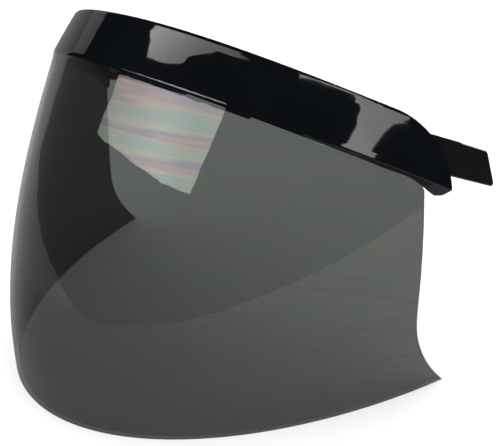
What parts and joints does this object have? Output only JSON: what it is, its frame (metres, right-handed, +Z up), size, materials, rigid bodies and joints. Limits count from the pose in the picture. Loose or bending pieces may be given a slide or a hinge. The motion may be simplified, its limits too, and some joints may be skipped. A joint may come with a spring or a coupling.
{
  "type": "motorcycle helmet visor",
  "caption": "Deep smoke visor for an open-face motorcycle helmet: a curved tinted shield on a glossy black brow band, with swinging side arms.",
  "frame": {"origin": "centre of the bounding box, on the plane of the lower edge", "axes": "+Z up, the visor stands on its lower edge; the front looks along -Y; +X is the wearer's left, the near side in the picture"},
  "size_m": [0.2408, 0.1776, 0.1557],
  "materials": {
    "smoke_shield": "clear smoke tint, hard coated",
    "gloss_black": "high gloss",
    "satin_black": "satin",
    "matt_black": "matt",
    "black_rubber": "matt",
    "steel": "zinc plated",
    "brass": "turned",
    "nylon": "natural"
  },
  "bodies": {
    "visor": {"shield": "smoke_shield", "brow_cover": "gloss_black", "inner_carrier": "matt_black", "brow_seal": "black_rubber", "shield_gasket": "black_rubber", "carrier_screws": "steel", "left_pivot_screw": "steel", "left_pivot_washer": "nylon", "left_detent_ball": "steel", "left_detent_spring": "steel", "left_stop_pin": "steel", "right_pivot_screw": "steel", "right_pivot_washer": "nylon", "right_detent_ball": "steel", "right_detent_spring": "steel", "right_stop_pin": "steel"},
    "left_arm": {"left_arm": "satin_black", "left_arm_bush": "brass", "left_arm_inserts": "brass"},
    "right_arm": {"right_arm": "satin_black", "right_arm_bush": "brass", "right_arm_inserts": "brass"}
  },
  "joints": [
    {"name": "left_arm_hinge", "type": "hinge", "parent": "visor", "child": "left_arm", "pos_m": [0.1038, 0.03585, 0.10628], "axis": [1, 0, 0], "range_deg": [0, 55]},
    {"name": "right_arm_hinge", "type": "hinge", "parent": "visor", "child": "right_arm", "pos_m": [-0.1038, 0.03585, 0.10628], "axis": [1, 0, 0], "range_deg": [0, 55]}
  ],
  "couplings": [
    {"joint": "right_arm_hinge", "follows": "left_arm_hinge", "ratio": 1}
  ]
}
